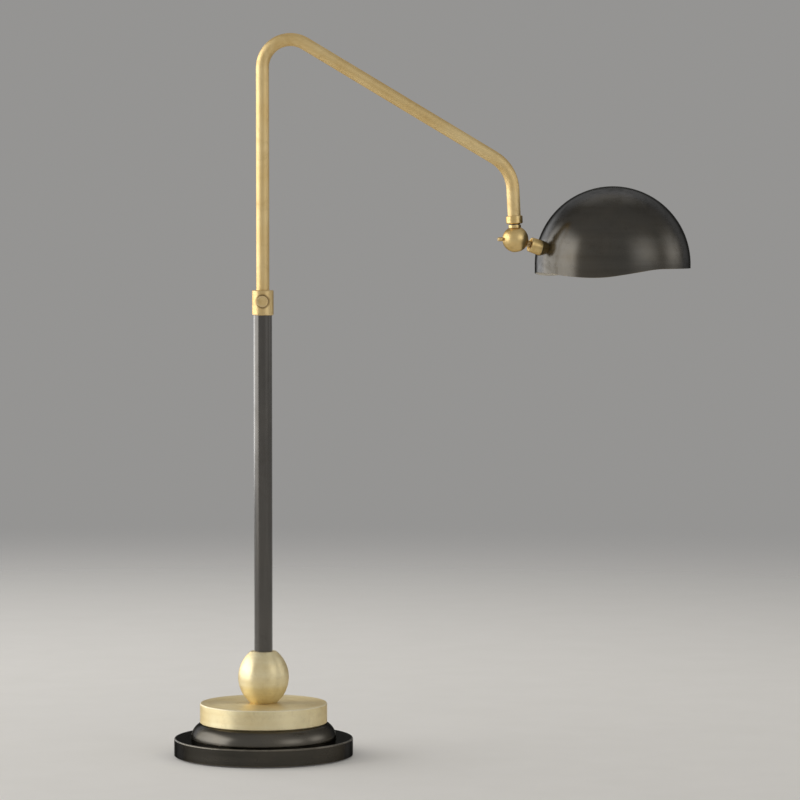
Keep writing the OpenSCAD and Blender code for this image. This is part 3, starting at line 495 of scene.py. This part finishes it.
def makeFeltCloth(look):
    made, tree, shader, place = newMaterial("baseFelt")
    fibre = grainNoise(tree, place, look["fibre"], detail=5.0, rough=0.75)
    tuft = grainNoise(tree, place, look["tuft"], detail=3.0, rough=0.6)
    mixed = spread(tree, calc(tree, "ADD", fibre, share(tree, tuft, look["tuftShare"])), *look["mix"])
    plug(tree, shader, baseColor=blendColour(tree, mixed, look["green"], look["grey"]),
         roughness=spread(tree, fibre, *grainRange, *look["rough"]),
         normal=shapeNormal(tree, fibre, look["bump"], look["relief"]))
    setPlain(shader, {"Sheen Weight": look["sheen"], "Sheen Roughness": look["sheenRoughness"]})
    return made


opalLook = {"white": rgb(244, 242, 236), "warm": rgb(238, 231, 216), "roughness": 0.14, "smudgeRough": 0.10,
            "touchScale": 1.4, "wave": 90.0, "bump": 0.03, "relief": 0.0006, "scatter": 0.4,
            "scatterRadius": (0.012, 0.010, 0.008), "scatterScale": 0.4}


def makeOpal(look):
    made, tree, shader, place = newMaterial("opalGlass")
    touch = useGroup(tree, handled, {"Place": place, "Scale": look["touchScale"]})
    wave = grainNoise(tree, place, look["wave"], detail=2.0, rough=0.5)
    colour = blendColour(tree, touch["Mottle"], look["white"], look["warm"])
    rough = calc(tree, "ADD", look["roughness"], share(tree, touch["Smudge"], look["smudgeRough"]))
    plug(tree, shader, baseColor=colour, roughness=rough,
         normal=shapeNormal(tree, wave, look["bump"], look["relief"]))
    setPlain(shader, {"Subsurface Weight": look["scatter"], "Subsurface Radius": look["scatterRadius"],
                      "Subsurface Scale": look["scatterScale"]})
    return made


ballCentre = (0.252716, 0.0, 0.518983)
headTurn, cupSlope, dropLean = 16.0, 18.5, 3.0


def atOrigin(tree, place):  # these pieces already stand on the Z axis
    return place


def atShade(tree, place):
    return turnedPlace(tree, place, shadeLook["centre"], (0, 0, 0))


def atDrop(tree, place):
    return turnedPlace(tree, place, ballCentre, (0, -dropLean, 0))


def atCup(tree, place):
    return turnedPlace(tree, place, ballCentre, (0, 90.0 + cupSlope, headTurn))


def atThumb(tree, place):
    return turnedPlace(tree, place, (0, 0, thumbHeight), (90, 0, 0))


finishes = {
    "brassTurned": makeBrass("brassTurned", turnedMarks, atOrigin, 1300.0, baseBrassLook, anisotropy=0.7),
    "brassCollar": makeBrass("brassCollar", turnedMarks, atOrigin, 1600.0, collarLook, anisotropy=0.6),
    "brassArm": makeBrass("brassArm", drawnMarks, armPlace, 1500.0, armLook, bump=0.16),
    "brassDrop": makeBrass("brassDrop", turnedMarks, atDrop, 1700.0, jointBrassLook),
    "brassCup": makeBrass("brassCup", turnedMarks, atCup, 1700.0, jointBrassLook),
    "brassThumb": makeBrass("brassThumb", turnedMarks, atThumb, 1700.0),
    "brassThread": makeBrass("brassThread", turnedMarks, atCup, 1700.0, threadBrassLook),
    "bronzeFoot": makeBronze("bronzeFoot", turnedMarks, atOrigin, 800.0, footLook)[0],
    "bronzeTurned": makeBronze("bronzeTurned", turnedMarks, atOrigin, 800.0, mouldLook)[0],
    "bronzeStem": makeBronze("bronzeStem", drawnMarks, atOrigin, 1100.0, stemLook, bump=0.03)[0],
    "shadeBronze": makeShadeMetal(shadeLook),
    "zincSteel": makeSteel(steelLook),
    "castIron": makeIron(ironLook),
    "milkNylon": makeNylon("milkNylon", nylonLook),
    "blackNylon": makeNylon("blackNylon", blackNylonLook),
    "blackResin": makeResin(resinLook),
    "baseFelt": makeFeltCloth(feltLook),
    "opalGlass": makeOpal(opalLook),
}

finishOfNode = {
    "brassTurned": ["plinth", "knop"],
    "brassCollar": ["collar"],
    "brassArm": ["arm_tube"],
    "brassDrop": ["arm_ferrule", "swivel_spindle", "ball_housing", "ball_cap"],
    "brassCup": ["shade_cup", "tilt_lock_screw", "tilt_drum", "holder_contact", "bulb_cap"],
    "brassThread": ["shade_nipple"],
    "brassThumb": ["thumb_knob"],
    "bronzeFoot": ["foot"],
    "bronzeTurned": ["moulding"],
    "bronzeStem": ["stem_tube"],
    "shadeBronze": ["shade"],
    "castIron": ["base_weight"],
    "milkNylon": ["collar_liner", "clamp_pad", "guide_bush", "tilt_washers"],
    "blackNylon": ["swivel_washer"],
    "blackResin": ["cord_gland", "lampholder", "switch_key"],
    "baseFelt": ["felt_pad"],
    "opalGlass": ["bulb_glass"],
}


def dressNodes():  # every other node is plain zinc plated steel
    wanted = {node: finish for finish, nodes in finishOfNode.items() for node in nodes}
    for name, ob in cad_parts.items():
        finish = finishes[wanted.get(name, "zincSteel")]
        for place in ob.material_slots:
            place.material = finish
    print("finishes on", len(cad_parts), "nodes")


dressNodes()


def makePiece(name, bm, finish):  # a closed mesh as an object with its finish
    bmesh.ops.recalc_face_normals(bm, faces=bm.faces)
    mesh = bpy.data.meshes.new(name)
    bm.to_mesh(mesh)
    bm.free()
    mesh.materials.append(finishes[finish])
    ob = bpy.data.objects.new(name, mesh)
    scene.collection.objects.link(ob)
    return ob


def headSeat(tip):  # the ball's centre, turned with the head and tipped about its cross axis
    turned = Matrix.Translation(ballCentre) @ Matrix.Rotation(math.radians(headTurn), 4, "Z")
    return turned @ Matrix.Rotation(math.radians(tip), 4, "Y")


feltDisc = {"radius": 0.082, "thick": 0.002, "round": 0.0007, "edgeTurns": (-60, -30, 0, 30, 60), "rings": 36,
            "around": 216, "nap": 0.00008, "napScale": (900.0, 400.0), "fray": 0.0003, "frayScale": (24.0, 900.0),
            "frayFrom": 0.99}


def makeFeltDisc(look):  # the cut felt under the foot, napped and a little frayed at its edge
    flat = look["radius"] - look["round"]
    half = look["thick"] / 2.0
    line = [(flat * i / look["rings"], 0.0, 1.0) for i in range(1, look["rings"] + 1)]
    line += [(flat + look["round"] * math.cos(a), half + half * math.sin(a), 0.0) for a in
             (math.radians(v) for v in look["edgeTurns"])]
    line += [(flat * i / look["rings"], look["thick"], -1.0) for i in range(look["rings"], 0, -1)]
    (napAcross, napUp), (frayAcross, frayUp) = look["napScale"], look["frayScale"]
    bm = bmesh.new()
    rings = []
    for r, z, lift in line:
        ring = []
        for k in range(look["around"]):
            a = 2.0 * math.pi * k / look["around"]
            way = Vector((math.cos(a), math.sin(a), 0.0))
            tuft = 0.5 + 0.5 * noise.noise(way * r * napAcross + Vector((0.0, 0.0, z * napUp)))
            fray = 0.0
            if r > flat * look["frayFrom"]:
                fray = look["fray"] * noise.noise(way * frayAcross + Vector((0.0, 0.0, z * frayUp)))
            ring.append(bm.verts.new(way * (r + fray) + Vector((0.0, 0.0, z + lift * look["nap"] * tuft))))
        rings.append(ring)
    for lower, upper in zip(rings, rings[1:]):
        for k in range(look["around"]):
            n = (k + 1) % look["around"]
            bm.faces.new((lower[k], lower[n], upper[n], upper[k]))
    for ring, z in ((rings[0], 0.0), (rings[-1], look["thick"])):
        middle = bm.verts.new((0.0, 0.0, z))
        for k in range(look["around"]):
            bm.faces.new((ring[k], ring[(k + 1) % look["around"]], middle))
    ob = makePiece("feltDisc", bm, "baseFelt")
    for face in ob.data.polygons:
        face.use_smooth = True
    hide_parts("felt_pad")
    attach(ob, "base")
    print("felt cut and laid")


makeFeltDisc(feltDisc)

nippleThread = {"crest": 0.00325, "depth": 0.00035, "pitch": 0.0008, "bore": 0.0017, "span": (0.0056, 0.0382),
                "flangeSpan": (0.01605, 0.01795), "flange": 0.005, "around": 44, "perTurn": 6}


def makeNipple(look):  # the lamp tube with its cut thread, along the cup's axis
    def threadRows(start, end):
        count = round((end - start) / look["pitch"] * look["perTurn"])
        return [(start + (end - start) * i / count, None) for i in range(count + 1)]

    (start, end), (low, high) = look["span"], look["flangeSpan"]
    line = threadRows(start, low) + [(low, look["flange"]), (high, look["flange"])] + threadRows(high, end)
    line += [(end, look["bore"]), (start, look["bore"])]
    seat = headSeat(90.0 + cupSlope)
    bm = bmesh.new()
    rings = []
    for z, radius in line:
        ring = []
        for k in range(look["around"]):
            turn = k / look["around"]
            # one ridge for each pitch, none at the ends of the tube
            ridge = 0.0 if z in look["span"] else abs(2.0 * ((z / look["pitch"] - turn) % 1.0) - 1.0)
            out = radius if radius else look["crest"] - look["depth"] * (1.0 - ridge)
            a = 2.0 * math.pi * turn
            ring.append(bm.verts.new(seat @ Vector((out * math.cos(a), out * math.sin(a), z))))
        rings.append(ring)
    for lower, upper in zip(rings, rings[1:] + rings[:1]):
        for k in range(look["around"]):
            n = (k + 1) % look["around"]
            bm.faces.new((lower[k], lower[n], upper[n], upper[k]))
    ob = makePiece("nippleThread", bm, "brassThread")
    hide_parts("shade_nipple")
    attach(ob, "head")
    print("nipple threaded")


makeNipple(nippleThread)

lockScrew = {"shank": 0.00175, "head": 0.002, "tip": 0.0078, "under": 0.0134, "end": 0.0184, "bevel": 0.0006,
             "slot": 0.0008, "slotDeep": 0.0012, "arc": 20, "sharp": 25.0}


def makeLockScrew(look):  # the pin of the tilt lock, with a driver slot across its end
    seat = headSeat(-90.0)
    bm = bmesh.new()
    n = look["arc"]

    def ringAt(radius, z):  # two arcs that end on the slot's walls, and a point between them at each side
        edge = math.asin(look["slot"] / 2.0 / radius)
        arc = [edge + (math.pi - 2.0 * edge) * i / n for i in range(n + 1)]
        turns = [0.0] + arc + [math.pi] + [math.pi + a for a in arc]
        return [bm.verts.new(seat @ Vector((radius * math.cos(a), radius * math.sin(a), z))) for a in turns]

    head, bevel, end = look["head"], look["bevel"], look["end"]
    rows = [(look["shank"], look["tip"]), (look["shank"], look["under"]), (head - bevel, look["under"]),
            (head, look["under"] + bevel), (head, end - look["slotDeep"])]
    rings = [ringAt(r, z) for r, z in rows]
    for lower, upper in zip(rings, rings[1:]):
        for k in range(len(lower)):
            m = (k + 1) % len(lower)
            bm.faces.new((lower[k], lower[m], upper[m], upper[k]))
    bm.faces.new(rings[0])
    bed = rings[-1]  # the level of the slot's floor
    jaws = [bed, ringAt(head, end - bevel), ringAt(head - bevel, end)]
    starts = (1, n + 3)
    for lower, upper in zip(jaws, jaws[1:]):
        for first in starts:
            for k in range(first, first + n):
                bm.faces.new((lower[k], lower[k + 1], upper[k + 1], upper[k]))
    for first in starts:
        bm.faces.new(jaws[-1][first:first + n + 1])  # the jaw's top, then its wall along the slot
        bm.faces.new([ring[first] for ring in jaws] + [ring[first + n] for ring in reversed(jaws)])
    bm.faces.new([bed[k] for k in (0, 1, n + 1, n + 2, n + 3, 2 * n + 3)])
    bmesh.ops.delete(bm, geom=[v for v in bm.verts if not v.link_faces], context="VERTS")
    ob = makePiece("lockScrew", bm, "brassCup")
    for face in ob.data.polygons:
        face.use_smooth = True
    ob.data.set_sharp_from_angle(angle=math.radians(look["sharp"]))
    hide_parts("tilt_lock_screw")
    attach(ob, "tilt_lock")
    print("lock screw slotted")


makeLockScrew(lockScrew)

floorLook = {"radius": 6.0, "segments": 128, "below": 0.0004, "colour": rgb(228, 225, 220),
             "shade": rgb(221, 218, 212), "grain": 14.0, "fadeFrom": 0.55, "fadeTo": 2.8, "lift": 0.05,
             "liftColour": (1.0, 0.985, 0.96, 1.0), "roughness": 0.9, "gloss": 0.2}
worldLook = {"colour": (1.0, 0.986, 0.965, 1.0), "behind": 0.3, "before": 0.48, "turn": (0.6, -0.8)}


def makeFloor(look):
    bm = bmesh.new()
    bmesh.ops.create_circle(bm, cap_ends=True, segments=look["segments"], radius=look["radius"])
    mesh = bpy.data.meshes.new("paperFloor")
    bm.to_mesh(mesh)
    bm.free()
    ob = bpy.data.objects.new("paperFloor", mesh)
    ob.location.z = -look["below"]
    scene.collection.objects.link(ob)
    made, tree, shader, place = newMaterial("palePaper")
    grain = grainNoise(tree, place, look["grain"], detail=5.0, rough=0.6)
    plug(tree, shader, baseColor=blendColour(tree, grain, look["colour"], look["shade"]),
         alpha=spread(tree, lengthOf(tree, place), look["fadeTo"], look["fadeFrom"], smooth=True))
    setPlain(shader, {"Roughness": look["roughness"], "Specular IOR Level": look["gloss"],
                      "Emission Color": look["liftColour"]})
    ray = addNode(tree, "ShaderNodeLightPath").outputs  # the glow is seen, but lights nothing
    seen = calc(tree, "ADD", ray["Is Camera Ray"], ray["Is Glossy Ray"])
    seen = calc(tree, "ADD", seen, ray["Is Transmission Ray"], clamp=True)
    tree.links.new(calc(tree, "MULTIPLY", seen, look["lift"]), shader.inputs["Emission Strength"])
    mesh.materials.append(made)


def makeWorld(look):
    world = bpy.data.worlds.new("paleRoom")
    world.use_nodes = True
    tree = world.node_tree
    back = tree.nodes["Background"]
    back.inputs["Color"].default_value = look["colour"]
    y = parted(tree, addNode(tree, "ShaderNodeTexCoord").outputs["Generated"])["Y"]
    strength = spread(tree, y, *look["turn"], look["behind"], look["before"], smooth=True)
    tree.links.new(strength, back.inputs["Strength"])
    scene.world = world


softBoxes = {
    "leftBox": {"place": (-3.0, 0.3, 1.75), "aim": (0.0, 0.3, 1.75), "size": (5.0, 3.5), "radiance": 2.3,
                "side": 0.25, "low": 0.03, "high": 0.45},
    "rimBox": {"place": (-1.9, 2.6, 1.3), "aim": (0.05, 0.0, 1.3), "size": (3.0, 2.6), "radiance": 1.9,
               "side": 0.6, "low": 0.03, "high": 0.7},
    "frontBox": {"place": (2.3, -1.9, 1.6), "aim": (0.1, 0.0, 0.8), "size": (3.4, 3.2), "radiance": 1.2,
                 "side": 0.95, "low": 0.4, "high": 0.8},
    "rightBox": {"place": (3.1, 0.5, 1.3), "aim": (0.1, 0.0, 1.2), "size": (2.8, 2.6), "radiance": 1.35,
                 "side": 0.9, "low": 0.45, "high": 0.8},
    "topBox": {"place": (0.3, 1.5, 2.8), "aim": (0.2, 0.0, 0.5), "size": (3.2, 2.8), "radiance": 0.65,
               "side": 0.7, "low": 0.7, "high": 0.7},
    "backBox": {"place": (0.3, 3.2, 2.0), "aim": (0.15, 0.0, 0.3), "size": (3.6, 2.0), "radiance": 1.0,
                "side": 0.8, "low": 0.5, "high": 0.8},
}


def makeLights(boxes):  # soft boxes that fade out towards their edges
    for name, look in boxes.items():
        data = bpy.data.lights.new(name, "AREA")
        data.shape = "RECTANGLE"
        data.size, data.size_y = look["size"]
        data.energy = look["radiance"] * math.pi * data.size * data.size_y
        data.use_nodes = True
        tree = data.node_tree
        u, v = parted(tree, addNode(tree, "ShaderNodeNewGeometry").outputs["Parametric"])[:2]
        off = calc(tree, "ABSOLUTE", calc(tree, "MULTIPLY", calc(tree, "SUBTRACT", u, 0.5), 2.0))
        fade = spread(tree, off, 1.0, 1.0 - look["side"], smooth=True)
        fade = calc(tree, "MULTIPLY", fade, spread(tree, v, 0.0, look["low"], smooth=True))
        fade = calc(tree, "MULTIPLY", fade, spread(tree, v, 1.0, 1.0 - look["high"], smooth=True))
        tree.links.new(fade, tree.nodes["Emission"].inputs["Strength"])
        ob = bpy.data.objects.new(name, data)
        ob.location = look["place"]
        way = Vector(look["aim"]) - Vector(look["place"])
        ob.rotation_euler = way.to_track_quat("-Z", "Y").to_euler()
        ob.visible_camera = False
        scene.collection.objects.link(ob)


makeFloor(floorLook)
makeWorld(worldLook)
makeLights(softBoxes)
print("floor, world and lights set")
